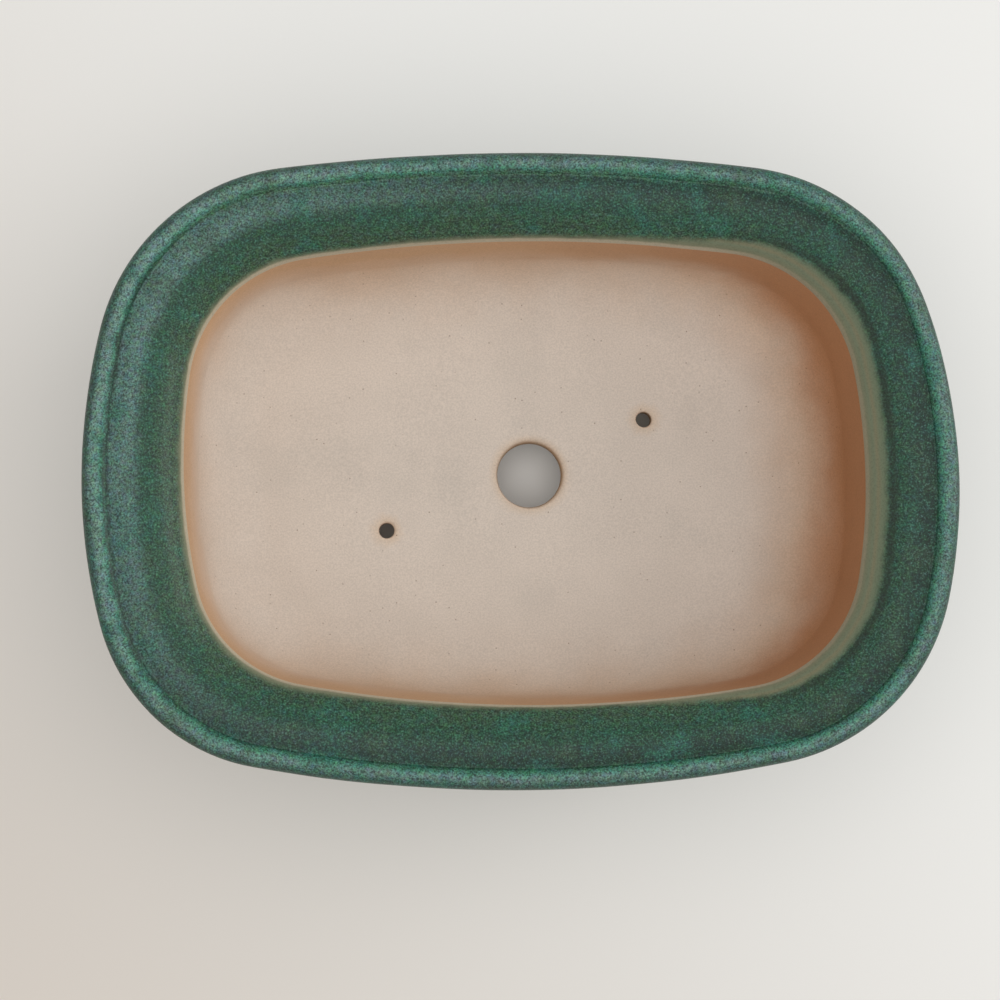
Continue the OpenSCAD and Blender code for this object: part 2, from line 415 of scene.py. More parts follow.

# %% [markdown]
# ## Marks for the finishes
#
# A glaze changes with its distance from the edge where it was wiped away, and a height alone can't tell
# that, because the rim goes up and down again. So every point of a hoop keeps three numbers that the
# finishes read: the way along the face to the glaze line, how far the pale, thin glaze reaches there, and
# how strong a painted sheen on the crest is. The glaze ran thin on the right, and the painted sheen is
# strongest on the left, so the last two are given for bearings round the pot, in degrees.

# %% Keep what the finishes need
MARK_BEARINGS = [-180, -160, -140, -120, -95, -70, -52, -38, -20, 25, 40, 55, 75, 100, 125, 150, 180]
PALE_REACHES = [4.8, 4.9, 5.4, 5.2, 4.6, 4.0, 6.2, 8.2, 9.7, 9.7, 8.6, 5.9, 4.6, 4.5, 4.4, 4.6, 4.8]
# How strong the painted sheen, in blue-grey, is on the crest and the bead, by bearing.
PAINTED_SHEEN = [1.0, 0.65, 0.2, 0.1, 0.05, 0.0, 0.0, 0.0, 0.0, 0.0, 0.0, 0.05, 0.15, 0.3, 0.7, 1.0, 1.0]


def add_marks(bm):
    """Three numbers on each point: the way to the glaze line, the pale reach (both in mm), and the painted
    sheen.
    """
    return [bm.verts.layers.float.new(name) for name in ("from_mouth_mm", "pale_mm", "painted_sheen")]


def hoop(bm, section, from_mouth=None):
    """A closed cross-section of (inset, height) carried round the outline."""
    mouth_mark, pale_mark, painted_sheen_mark = add_marks(bm)
    rings = []
    for row, (inset, height) in enumerate(section):
        ring = lay_ring(bm, inset, height)
        down = down_the_inside(height) if from_mouth is None else from_mouth[row]
        for point in ring[0]:
            towards = math.degrees(bearing(point.co))
            point[mouth_mark] = down / MM
            point[pale_mark] = np.interp(towards, MARK_BEARINGS, PALE_REACHES)
            point[painted_sheen_mark] = np.interp(towards, MARK_BEARINGS, PAINTED_SHEEN)
        rings.append(ring)
    for one, other in zip(rings, rings[1:] + rings[:1]):
        bridge(bm, one, other)
    return rings


print(f"pale glaze reaches {min(PALE_REACHES)} to {max(PALE_REACHES)} mm above the glaze line")

# %% [markdown]
# ## Lines of a cross-section
#
# A potter's profile is a few arcs, sweeping curves and straight faces joined end to end. Each kind gets one
# small function that gives back points of (inset, height), and a chain joins them, so that a profile reads
# like a list of what the hand did.

# %% Draw the lines of a cross-section
def arc(centre, radius, first, last, steps):
    """Points of an arc in the plane of the cross-section, in degrees from the inward direction."""
    turns = [math.radians(first + (last - first) * i / steps) for i in range(steps + 1)]
    return [Vector((centre[0] + radius * math.cos(t), centre[1] + radius * math.sin(t))) for t in turns]


def swept_curve(a, b, c, d, steps):
    """A curve from a to d that leaves a towards b and reaches d from c."""
    a, b, c, d = (Vector(p) for p in (a, b, c, d))
    ts = [i / steps for i in range(steps + 1)]
    return [a * (1 - t) ** 3 + 3 * b * t * (1 - t) ** 2 + 3 * c * t * t * (1 - t) + d * t ** 3 for t in ts]


def straight(a, b, steps):
    return [Vector(a).lerp(Vector(b), i / steps) for i in range(steps + 1)]


def chain(*lines):
    """Lines joined end to end, without repeating the point where two of them meet."""
    joined = list(lines[0])
    for line in lines[1:]:
        joined += [p for p in line if (p - joined[-1]).length > 0.01 * MM]
    return joined


print(f"a quarter arc in 8 steps has {len(arc((0, 0), MM, 0, 90, 8))} points")

# %% [markdown]
# ## The potter's hand
#
# Nothing on a pot like this is quite true. Walls lean by a fraction of a millimetre, the rim rises and
# falls a little, and the floor keeps the soft waves that the fingers left. One smooth displacement, the
# same for every piece, gives this, so pieces that touch still touch afterwards. Noise from mathutils is the
# same on each run, so the pot is too.

# %% Move every point by hand
def waves(place, wavelength, seed):
    return noise.noise(Vector(place) / wavelength + Vector((seed, 2.3 * seed, 5.1 * seed)))


def smooth_step(value, low, high):
    t = min(max((value - low) / (high - low), 0.0), 1.0)
    return t * t * (3 - 2 * t)


floor_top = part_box("floor_slab")[1].z


def by_hand(place):
    """Where the potter's hand leaves a point of the true form."""
    lift = smooth_step(place.z, 4 * MM, 30 * MM)
    lean = Vector((waves(place, 70 * MM, 1.0), waves(place, 70 * MM, 2.0), 0)) * 0.30 * MM
    bumps = Vector((waves(place, 18 * MM, 3.0), waves(place, 18 * MM, 4.0), 0)) * 0.09 * MM
    rise = (waves(place, 90 * MM, 5.0) * 0.25 + waves(place, 24 * MM, 6.0) * 0.06) * MM * lift
    on_floor = 1.0 - smooth_step(abs(place.z - floor_top), 1.5 * MM, 20 * MM)
    above = smooth_step(place.z, floor_top - 4 * MM, floor_top - 1 * MM)
    relief = (waves(place, 34 * MM, 7.0) * 0.34 + waves(place, 15 * MM, 8.0) * 0.10) * MM
    return place + lean + bumps + Vector((0, 0, rise + relief * on_floor * above))


def finish_piece(bm, name, material, slot, *nodes, sharp=38):
    """Turns a bmesh into a finished piece: by hand, faces out, smooth, named and on its body. The slot is not
    used.
    """
    for point in bm.verts:
        point.co = by_hand(point.co)
    bmesh.ops.remove_doubles(bm, verts=bm.verts, dist=0.002 * MM)
    bmesh.ops.recalc_face_normals(bm, faces=bm.faces)
    open_edges = sum(1 for edge in bm.edges if not edge.is_manifold)
    data = bpy.data.meshes.new(name)
    bm.to_mesh(data)
    bm.free()
    data.shade_smooth()
    data.set_sharp_from_angle(angle=math.radians(sharp))
    piece = bpy.data.objects.new(name, data)
    scene.collection.objects.link(piece)
    data.materials.append(material)
    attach(piece, "root")
    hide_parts(*nodes)
    print(f"{name}: {len(data.polygons)} faces, {open_edges} open edges")


moved = (by_hand(Vector((half_length, 0, pot_height))) - Vector((half_length, 0, pot_height))).length
print(f"the hand moves the right end of the rim by {moved / MM:.2f} mm")

# %% [markdown]
# ## Heights and insets
#
# The heights all come from the frame: the underside and the top of the slab, the seam between wall and rim,
# the glaze line and the top of the bead. The insets are the potter's cross-section, worked inwards from the
# edge of the rim: bead, groove, soft crest, long slope, the arris where the rim turns down, and the mouth.

# %% Read the heights and name the insets
slab_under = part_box("floor_slab")[0].z
seam_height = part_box("rim")[0].z
glaze_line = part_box("lip_glaze")[0].z
coil_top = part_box("seam_coil")[1].z
flange_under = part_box("lip_bead")[0].z

COAT = 0.7 * MM
THIN_COAT = 0.35 * MM
BEAD_RADIUS = 3.0 * MM
top = pot_height - HAND_ROOM
bead_centre = (COAT + BEAD_RADIUS, top - COAT - BEAD_RADIUS)
flange_edge = 6.0 * MM
groove_height = top - 2.6 * MM
crest = (11.5 * MM, top - 1.7 * MM)
arris = (22.3 * MM, top - 6.0 * MM)
mouth = (MOUTH_INSET, glaze_line)
neck_inset = 18.6 * MM
base_inset = 24.0 * MM
edge_radius = 3.0 * MM
cove_radius = 17.5 * MM
belly = 0.8 * MM
INNER_DRAFT = 2.1 * MM


def inner_inset(height):
    """The inner face of the wall draws in by the draft between the glaze line and the top of the cove."""
    return MOUTH_INSET + INNER_DRAFT * (glaze_line - height) / (glaze_line - coil_top)


def down_the_inside(height):
    """How far below the glaze line, along the bare inside, a height lies."""
    if height > coil_top:
        return glaze_line - height
    return glaze_line - coil_top + cove_radius * math.asin(min(1.0, (coil_top - height) / cove_radius))


def outer_inset(height):
    """The outer face leans out towards the neck, with a slight belly."""
    low = slab_under + edge_radius
    t = (height - low) / (seam_height - low)
    return base_inset + (neck_inset - base_inset) * t - belly * 4 * t * (1 - t)


print(f"floor at {floor_top / MM:.1f} mm, seam {seam_height / MM:.1f}, glaze line {glaze_line / MM:.1f}")

# %% [markdown]
# ## The profile
#
# The outside climbs from a rounded lower edge up a nearly straight wall and flares into the flange. The
# bead is most of a circle. The groove, the slope and the turn into the mouth are sweeping curves, each
# leaving in the direction in which the one before arrived. Inside, a straight bare face runs down into the
# wide cove of the seam coil. Working all of them out once means that neighbouring pieces share the same
# line exactly.

# %% Draw the whole profile
lower_edge = arc((base_inset + edge_radius, slab_under + edge_radius), edge_radius, 270, 180, 8)
outer_wall = [Vector((outer_inset(h), h)) for h in np.linspace(floor_top, seam_height, 17).tolist()]
slab_side = [Vector((outer_inset(h), h)) for h in np.linspace(slab_under + edge_radius, floor_top, 4)]
flare = [Vector((flange_edge + (neck_inset - flange_edge) * math.cos(t),
                 seam_height + (flange_under - seam_height) * math.sin(t)))
         for t in np.linspace(0, math.pi / 2, 19)]
bead_turn = math.degrees(math.acos((flange_edge - bead_centre[0]) / BEAD_RADIUS))
bead_face = arc(bead_centre, BEAD_RADIUS, 270, bead_turn, 22)
groove_face = swept_curve((flange_edge, groove_height), (flange_edge + 1.2 * MM, groove_height - 0.2 * MM),
                          (crest[0] - 3.2 * MM, crest[1]), crest, 12)
slope_face = swept_curve(crest, (crest[0] + 3.5 * MM, crest[1]), (arris[0] - 3.3 * MM, arris[1] + 1.8 * MM),
                         arris, 16)
turn_face = swept_curve(arris, (arris[0] + 1.9 * MM, arris[1] - 1.1 * MM),
                        (mouth[0] - 0.2 * MM, mouth[1] + 3.7 * MM), mouth, 14)
inner_wall = [Vector((inner_inset(h), h)) for h in np.linspace(glaze_line, coil_top, 26)]
cove_face = arc((inner_inset(coil_top) + cove_radius, coil_top), cove_radius, 180, 270, 30)
print(f"cross-section: {len(bead_face)} points on the bead, {len(slope_face)} on the slope")

# %% [markdown]
# ## Finishes
#
# There are two clays and two coats of glaze. Every pattern in them is worked out from the place on the pot,
# in metres, so it stays the size that it would be on real clay. What two finishes share is a node group.
#
# The clay is a buff stoneware with a fine sandy grain and a few specks of iron. Painted texture would show
# its seams and its edges, so the grain is soft noise, and the specks are the middles of a few Voronoi
# cells.

# %% Sandy grain and iron specks, shared by the clays
FLOAT, COLOUR, VECTOR = "NodeSocketFloat", "NodeSocketColor", "NodeSocketVector"


def new_group(name, outputs, inputs=()):
    """A node group that reads a place on the pot, and other named inputs, and gives back named values."""
    group = bpy.data.node_groups.new(name, "ShaderNodeTree")
    for label, kind in (("Place", VECTOR), *inputs):
        group.interface.new_socket(label, in_out="INPUT", socket_type=kind)
    for label, kind in outputs:
        group.interface.new_socket(label, in_out="OUTPUT", socket_type=kind)
    return group, group.nodes.new("NodeGroupInput").outputs, group.nodes.new("NodeGroupOutput").inputs


def use_group(tree, name, **wires):
    """A group placed in a material or in another group, with its own values."""
    named = {label.replace("_", " ").title(): value for label, value in wires.items()}
    return add(tree, "Group", named, node_tree=bpy.data.node_groups[name]).outputs


def give(tree, exits, **results):
    """Wires results to the outputs of a group, and tells its size."""
    for label, value in results.items():
        tree.links.new(value, exits[label.title()])
    print(f"{tree.name}: {len(tree.nodes)} nodes")


tree, entries, exits = new_group("clay_grain", [("Shade", FLOAT), ("Speck", FLOAT), ("Normal", VECTOR)])
place = entries["Place"]
sand = cloud(tree, place, 0.50 * MM, 3.0)
drift = cloud(tree, place, 16 * MM, 3.0, 0.3)
shade = plus(tree, between(tree, sand, 0.28, 0.72, -0.085, 0.085), between(tree, drift, 0.3, 0.7, 0.98, 1.02))
grains = add(tree, "TexVoronoi", {"Vector": place, "Scale": 1 / (1.9 * MM)}).outputs
chance = add(tree, "SeparateColor", {0: grains["Color"]}).outputs[0]
speck = times(tree, between(tree, grains["Distance"], 0.06, 0.15, 1.0, 0.0),
              between(tree, chance, 0.74, 0.92))
pits = cloud(tree, place, 0.35 * MM, 3.0, 0.7)
relief = add(tree, "Bump", {"Height": pits, "Strength": 0.30, "Distance": 0.12 * MM})
give(tree, exits, shade=shade, speck=speck, normal=relief.outputs["Normal"])

# %% [markdown]
# ## Flash, stains and painted shade on bare clay
#
# Bare clay that sits close to the glaze in the kiln is flashed a warm orange brown. The same colours,
# reaching further down the wall and deeper towards the right, are also painted shade on the inside of the
# right-hand wall, which faces away from the light; they reach least far on the left, where the wall is lit.
# The flash follows the surface down the wall and round the cove, so it is mixed in by the distance from the
# glaze line and not by height, which would end it in a hard stripe. The clay round the holes is stained a
# little, the insides of the holes are painted brown as shade, the clay is painted a little lighter towards
# the back as painted light, and the floor has faint grey marks from wet hands.

# %% Flash the clay
def mark(tree, name):
    """One of the numbers kept on the points of a piece. It is 0 where a piece has none."""
    return add(tree, "Attribute", attribute_name=name).outputs["Fac"]


def flash_and_shade_strength(tree, place, along):
    """1 where the clay is fully flashed or painted in shade, 0 where it stays buff. It reaches furthest on
    the right, as painted shade.
    """
    wander = between(tree, cloud(tree, place, 18 * MM, 3.0, 1.9), 0.3, 0.7, -2.5, 2.5)
    # Painted shade: the flash reaches less far on the lit left wall, and further on the shaded right-hand
    # wall.
    past_left = between(tree, along, -95 * MM, -45 * MM)
    painted_shade_at_right = between(tree, along, 40 * MM, 90 * MM)
    full_to = plus(tree, times(tree, past_left, 8.0), times(tree, painted_shade_at_right, 16.0))
    faded_at = plus(tree, times(tree, past_left, 14.0), 42.0, times(tree, painted_shade_at_right, 20.0))
    return between(tree, plus(tree, mark(tree, "from_mouth_mm"), wander), faded_at, full_to)


def stained(tree, colour, place, height):
    """The stain round the holes, painted shade in brown inside them, and the faint marks on the floor."""
    halo = mark(tree, "hole_halo")
    colour = mix(tree, times(tree, halo, 0.42), colour, tint(206, 178, 146))
    # Painted shade: the clay inside the holes is painted brown.
    painted_shade_in_holes = between(tree, height, floor_top - 0.4 * MM, floor_top - 1.6 * MM)
    colour = mix(tree, times(tree, halo, painted_shade_in_holes), colour, tint(172, 144, 116))
    low = between(tree, height, floor_top + 9 * MM, floor_top + 2 * MM)
    smears = between(tree, cloud(tree, place, 26 * MM, 4.0, 6.2), 0.52, 0.72, 0.0, 0.24)
    return mix(tree, times(tree, low, smears), colour, tint(188, 181, 172))


tree, entries, exits = new_group("clay_colour", [("Colour", COLOUR)],
                                 [("Buff", COLOUR), ("Flash", COLOUR), ("Deep Flash", COLOUR)])
place = entries["Place"]
axes = add(tree, "SeparateXYZ", {0: place}).outputs
flashed = flash_and_shade_strength(tree, place, axes["X"])
# Painted shade: the deep flash colour takes over towards the right, on the shaded wall.
deeper_shade_at_right = times(tree, between(tree, axes["X"], -30 * MM, 105 * MM), between(tree, flashed, 0.4, 0.95))
colour = mix(tree, flashed, entries["Buff"], mix(tree, deeper_shade_at_right, entries["Flash"], entries["Deep Flash"]))
colour = stained(tree, colour, place, axes["Z"])
# Painted light: the clay is made lighter towards the back.
painted_light_at_back = between(tree, axes["Y"], 5 * MM, 45 * MM, 1.0, 1.08)
give(tree, exits, colour=scaled(tree, colour, painted_light_at_back))

# %% [markdown]
# ## The two clays
#
# The bare inside is the buff clay. The clay of the bead and the feet was toasted all over, so it is the same
# recipe in warmer colours. Both share the two groups, and each gives them its own colours.

# %% Bare clay and toasted clay
def clay_material(name, buff, flash, deep_flash, roughness):
    """Clay in three colours, the last of them deepened as painted shade, with sandy grain and specks of iron.
    """
    material, tree, shader, place = start_material(name)
    body = use_group(tree, "clay_colour", place=place, buff=buff, flash=flash, deep_flash=deep_flash)
    grain = use_group(tree, "clay_grain", place=place)
    shaded = scaled(tree, body["Colour"], grain["Shade"])
    specked = mix(tree, times(tree, grain["Speck"], 0.60), shaded, tint(112, 80, 56))
    set_shader(tree, shader, specked, roughness, 0.25)
    tree.links.new(grain["Normal"], shader.inputs["Normal"])
    return material


bare_clay = clay_material("bare_clay", buff=tint(211, 200, 189), flash=tint(192, 157, 124),
                          deep_flash=tint(170, 121, 84), roughness=0.86)
toasted_clay = clay_material("toasted_clay", buff=tint(184, 150, 118), flash=tint(190, 148, 112),
                             deep_flash=tint(184, 140, 104), roughness=0.80)
print(f"{bare_clay.name} and {toasted_clay.name}: {len(bare_clay.node_tree.nodes)} nodes each")

# %% [markdown]
# ## Flecks in the glaze
#
# The glaze is full of black, teal and blue-grey flecks about half a millimetre across, over softer clouds
# of two greens, and its skin has a faint orange peel. Fine noise with detail, cut at its low and high ends,
# gives the dark and the light flecks. Noise with its own colours tips each fleck towards blue or brown, and
# a fine grain over all of it keeps the flecks from looking cut out.

# %% Flecks and clouds, shared by the glazes
tree, entries, exits = new_group("glaze_flecks", [("Dark", FLOAT), ("Light", FLOAT), ("Hue", COLOUR),
                                                  ("Cloud", FLOAT), ("Grain", FLOAT), ("Normal", VECTOR)])
place = entries["Place"]
fine = cloud(tree, place, 0.54 * MM, 4.0)
coarse = cloud(tree, place, 2.6 * MM, 3.0, 0.4)
dust = cloud(tree, place, 0.44 * MM, 2.0, 0.6)
hues = add(tree, "TexNoise", {"Vector": place, "Scale": 1 / (1.5 * MM), "Detail": 4.0}).outputs["Color"]
skin = plus(tree, fine, times(tree, coarse, 1.6))
orange_peel = add(tree, "Bump", {"Height": skin, "Strength": 0.35, "Distance": 0.10 * MM})
give(tree, exits, dark=between(tree, fine, 0.56, 0.33), light=between(tree, fine, 0.50, 0.72), hue=hues,
     cloud=cloud(tree, place, 9 * MM, 4.0, 0.9), grain=plus(tree, times(tree, dust, 2.5), -0.25),
     normal=orange_peel.outputs["Normal"])


def speckled(tree, colour, flecks):
    """Clouds of two greens, light and dark flecks, and grains of other hues, over a colour."""
    colour = mix(tree, between(tree, flecks["Cloud"], 0.50, 0.72, 0.0, 0.65), colour, tint(40, 104, 88))
    colour = mix(tree, between(tree, flecks["Cloud"], 0.50, 0.30, 0.0, 0.5), colour, tint(58, 84, 62))
    colour = mix(tree, times(tree, flecks["Light"], 0.42), colour, tint(92, 138, 122))
    colour = mix(tree, times(tree, flecks["Dark"], 0.78), colour, tint(14, 34, 28))
    doubled = mix(tree, 1.0, flecks["Hue"], (2.0, 2.0, 2.0, 1.0), "MULTIPLY")
    return scaled(tree, mix(tree, 0.48, colour, doubled, "MULTIPLY"), flecks["Grain"])

# %% [markdown]
# ## Zones of the green glaze
#
# The glaze runs off high places and pools in low ones, so it turns teal on the shoulder of the bead and dark
# in the groove, where the dark is also painted shade. A row of colours along the glazed face, by the distance
# in millimetres from the glaze line, lays down those zones; in it the blue-grey on top of the bead is partly
# a painted highlight, and the outer face of the bead is painted darker as shade. A blue-grey painted sheen
# lies on the crest and the bead on the left, and the groove has painted shade on the left and painted light
# at the back, which the marks and the place on the pot tell.

# %% Lay down the zones
# Along the run: the blue-grey at 28.4 mm, on top of the bead, is partly a painted highlight, the dark at 25.0
# mm in the groove is partly painted shade, and the darker colours at 30.7 and 34.0 mm, on the outer face of
# the bead, are painted shade.
GREEN_RUN_AND_PAINTED_SHADE = [(0.0, tint(70, 88, 66)), (9.0, tint(54, 84, 62)), (13.5, tint(38, 80, 61)),
             (17.0, tint(32, 71, 54)), (20.0, tint(21, 51, 40)), (22.6, tint(21, 52, 40)),
             (25.0, tint(36, 76, 59)), (26.9, tint(66, 126, 107)), (28.4, tint(97, 130, 124)),
             (30.7, tint(50, 80, 70)), (34.0, tint(34, 64, 52)), (50.0, tint(42, 80, 62))]
RUN_END = GREEN_RUN_AND_PAINTED_SHADE[-1][0]


def run_colours(tree, run, table):
    """The colours of a table laid along the run, which is the distance from the glaze line."""
    end = table[-1][0]
    made = add(tree, "ValToRGB", {"Fac": maths(tree, "DIVIDE", run, end)})
    for at, colour in table[1:-1]:
        made.color_ramp.elements.new(at / end)
    for element, (at, colour) in zip(made.color_ramp.elements, table):
        element.position = at / end
        element.color = colour
    return made.outputs["Color"]


def zones(tree, place, run):
    """The colours along the glazed face, with a painted sheen, painted light and painted shade in places."""
    colour = run_colours(tree, run, GREEN_RUN_AND_PAINTED_SHADE)
    painted_sheen = mark(tree, "painted_sheen")
    axes = add(tree, "SeparateXYZ", {0: place}).outputs
    on_crest = within(tree, run, 14.8, 19.0, 23.6, 25.2)
    on_bead = within(tree, run, 26.4, 27.8, 28.9, 30.0)
    in_groove = within(tree, run, 23.2, 24.4, 25.8, 26.8)
    painted_light_in_groove = between(tree, axes["Y"], 50 * MM, 78 * MM, 0.0, 0.75)
    painted_shade_in_groove = between(tree, axes["X"], -85 * MM, -110 * MM, 0.0, 0.7)
    # Painted sheen: blue-grey on the crest and the bead where the sheen mark is high.
    colour = mix(tree, times(tree, on_crest, painted_sheen, 0.95), colour, tint(92, 127, 120))
    colour = mix(tree, times(tree, on_bead, painted_sheen, 0.55), colour, tint(116, 154, 144))
    # Painted light in the groove at the back, and painted shade in it on the left.
    colour = mix(tree, times(tree, in_groove, painted_light_in_groove), colour, tint(80, 116, 94))
    return mix(tree, times(tree, in_groove, painted_shade_in_groove), colour, tint(18, 44, 35))


print(f"{len(GREEN_RUN_AND_PAINTED_SHADE)} colours along {RUN_END} mm of glaze")

# %% [markdown]
# ## Thin glaze above the mouth
#
# Just above the line where it was wiped away the glaze is thin, and the clay shows through it: first cream,
# then olive. Where that band is wide, on the right, the glaze in it is a little thicker. There it hides the
# cream, and where the thick glaze above ends, on a steep face turned from the light, a dark line of painted
# shade is laid. Both follow the marks kept on the points.

# %% Thin the glaze, and mix the two coats
THIN_RUN = [(0.0, tint(192, 186, 163)), (3.48, tint(184, 175, 152)), (4.44, tint(126, 130, 106)),
            (6.24, tint(112, 121, 98)), (7.2, tint(122, 119, 93)), (8.4, tint(110, 120, 96)),
            (12.0, tint(88, 108, 86))]


def thinned(tree, place, run, wobble, flecks, thick_colour):
    """The pale band above the mouth, mixed into the colour of the thick glaze."""
    pale = mark(tree, "pale_mm")
    wide = between(tree, pale, 6.0, 9.5)
    ragged = between(tree, cloud(tree, place, 4.0 * MM, 4.0, 4.4), 0.3, 0.7, -0.35, 0.35)
    past = plus(tree, maths(tree, "SUBTRACT", run, pale), ragged)
    nearly = plus(tree, run, times(tree, wobble, 0.3))
    hidden_cream = times(tree, wide, between(tree, nearly, 5.0, 3.6), 0.65)
    colour = mix(tree, hidden_cream, run_colours(tree, nearly, THIN_RUN), tint(128, 128, 102))
    colour = mix(tree, times(tree, flecks["Dark"], 0.22), colour, tint(58, 70, 52))
    colour = mix(tree, between(tree, past, -1.0, 1.8), colour, thick_colour)
    # Painted shade: a dark line where the thick glaze ends above a wide pale band.
    painted_shade_line = times(tree, within(tree, past, 0.4, 1.6, 2.4, 4.2), wide, 0.6)
    return mix(tree, painted_shade_line, colour, tint(32, 38, 31))


tree, entries, exits = new_group("glaze_colour", [("Colour", COLOUR), ("Normal", VECTOR)])
place = entries["Place"]
flecks = use_group(tree, "glaze_flecks", place=place)
run = mark(tree, "from_mouth_mm")
wobble = between(tree, cloud(tree, place, 6 * MM, 3.0, 3.1), 0.3, 0.7, -0.5, 0.5)
thick = speckled(tree, zones(tree, place, plus(tree, run, wobble)), flecks)
give(tree, exits, colour=thinned(tree, place, run, wobble, flecks, thick), normal=flecks["Normal"])


def glaze_material(name, roughness):
    """The green glaze. It is rougher where it is thin."""
    material, tree, shader, place = start_material(name)
    surface = use_group(tree, "glaze_colour", place=place)
    set_shader(tree, shader, surface["Colour"], roughness, 0.34)
    tree.links.new(surface["Normal"], shader.inputs["Normal"])
    return material


green_glaze = glaze_material("green_glaze", 0.42)
thin_glaze = glaze_material("thin_glaze", 0.50)

# %% [markdown]
# ## The floor slab
#
# The slab is the flat bottom of the pot, with a large hole for water and two small ones for the wire that
# holds the tree. A boolean would leave long thin faces, and their shading would show. So the face of the
# floor is laid as rings that change, row by row, from the outline to the round edge of the drain hole. The
# wire holes are let into small patches of it. Their edges are worn round, as a wet finger leaves them.

# %% Rings for holes
holes = [m for m in frame["record"]["mounts"] if m["kind"] == "bore"]
drain = next(m for m in holes if m["name"] == "drain_hole")
wires = [m for m in holes if m is not drain]


def spot(hole):
    return Vector(hole["pos_m"][:2])


def lay_hole(bm, centre, radius, worn, steps, start):
    """The rings of a hole from the floor down. Both edges are rounded, the upper one most at back right."""
    lean = Vector((0.50, 0.55)) * worn
    rings = [lay_circle(bm, centre + lean * (1 - math.sin(t)), radius + worn * (1 - math.sin(t)),
                        floor_top - 1.3 * worn * (1 - math.cos(t)), steps, start)
             for t in np.linspace(0, math.pi / 2, 7).tolist()]
    soft = 0.5 * worn
    rings += [lay_circle(bm, centre, radius + soft * (1 - math.cos(t)), slab_under + soft * (1 - math.sin(t)),
                         steps, start)
              for t in np.linspace(0, math.pi / 2, 4).tolist()]
    return rings


def rings_between(bm, outer, inner, rows):
    """Rings that change, row by row, from the outline to the round edge of a hole."""
    rings = [outer]
    for row in range(1, rows):
        ring = lay_circle(bm, Vector((0, 0)), MM, 0, RING_POINTS)
        for point, a, b in zip(ring[0], outer[0], inner[0]):
            point.co = a.co.lerp(b.co, row / rows)
        rings.append(ring)
    return rings + [inner]


def open_patch(bm, centre, radius, height):
    """Removes the faces round a point of a flat face and gives back the ragged ring that is left."""
    near = [f for f in bm.faces
            if abs(f.calc_center_median().z - height) < 0.1 * MM
            and (f.calc_center_median().xy - centre).length < radius]
    around = {edge for f in near for edge in f.edges}
    rim = [edge for edge in around if sum(1 for f in edge.link_faces if f in near) == 1]
    bmesh.ops.delete(bm, geom=near, context="FACES")
    return list({point for edge in rim for point in edge.verts}), rim


print(f"drain hole {2 * drain['dims']['r_mm']} mm across, {len(wires)} wire holes")

# %% [markdown]
# ## Slab, laid in one skin
#
# Its skin climbs the side, runs in under the coil to the drain hole, goes down through that and comes back
# underneath. The marks on the floor grow from the foot of the cove towards the middle, so the flash fades
# out over it without a step. The other points are marked as far away, which keeps them buff.

# %% Build the slab
UNDER_COVE = 44.5 * MM
FAR_AWAY = 25.0
PATCH_RADIUS = 5.2 * MM
slab = bmesh.new()
mouth_mark = add_marks(slab)[0]
floor_start = down_the_inside(floor_top) / MM
side_rings = [lay_ring(slab, inset, height) for inset, height in lower_edge + slab_side[1:]]
side_rings.append(lay_ring(slab, UNDER_COVE, floor_top))
start = bearing(side_rings[0][0][0].co.xy - spot(drain))
hole_rings = lay_hole(slab, spot(drain), drain["dims"]["r_mm"] * MM, 1.5 * MM, RING_POINTS, start)
floor_rings = rings_between(slab, side_rings[-1], hole_rings[0], 34)
under_rings = rings_between(slab, hole_rings[-1], side_rings[0], 30)
wire_rings = [lay_hole(slab, spot(wire), wire["dims"]["r_mm"] * MM, 0.7 * MM, 32, 0.0) for wire in wires]
for rings in (side_rings, floor_rings, hole_rings, under_rings):
    for one, other in zip(rings, rings[1:]):
        bridge(slab, one, other)
for point in slab.verts:
    point[mouth_mark] = floor_start + FAR_AWAY
for ring in floor_rings:
    for point, under_cove in zip(ring[0], side_rings[-1][0]):
        point[mouth_mark] = floor_start + (point.co - under_cove.co).length / MM
for wire, rings in zip(wires, wire_rings):
    patches = [open_patch(slab, spot(wire), PATCH_RADIUS, height) for height in (floor_top, slab_under)]
    for one, other in zip(rings, rings[1:]):
        bridge(slab, one, other)
    bridge(slab, patches[0], rings[0])
    bridge(slab, patches[1], rings[-1])
halo = slab.verts.layers.float.new("hole_halo")
for point in slab.verts:
    nearest = min((point.co.xy - spot(hole)).length / MM - hole["dims"]["r_mm"] for hole in holes)
    point[halo] = 1.0 - smooth_step(nearest, 0.4, 3.0)
finish_piece(slab, "pot_floor", bare_clay, "bare_clay", "floor_slab")

# %% [markdown]
# ## Wall, seam coil, rim and bead
#
# On the real pot these are a band, a pressed coil, a collar and a roll of clay, luted together with slip.
# Each is one closed cross-section carried round the outline, built from the lines of the profile, so the
# joints between them fit without a gap. Only the inner face is bare, and glaze hides the rest.

# %% Wall, seam coil, rim and bead
wall = bmesh.new()
hoop(wall, chain(outer_wall, straight(outer_wall[-1], (inner_inset(seam_height), seam_height), 2),
                 [p for p in inner_wall if p.y < seam_height],
                 straight((inner_inset(coil_top), coil_top), (inner_inset(floor_top), floor_top), 6)))
finish_piece(wall, "pot_wall", bare_clay, "bare_clay", "wall")

coil = bmesh.new()
hoop(coil, chain(straight((inner_inset(floor_top), floor_top), (inner_inset(coil_top), coil_top), 4),
                 cove_face))
finish_piece(coil, "inner_seam_coil", bare_clay, "bare_clay", "seam_coil")

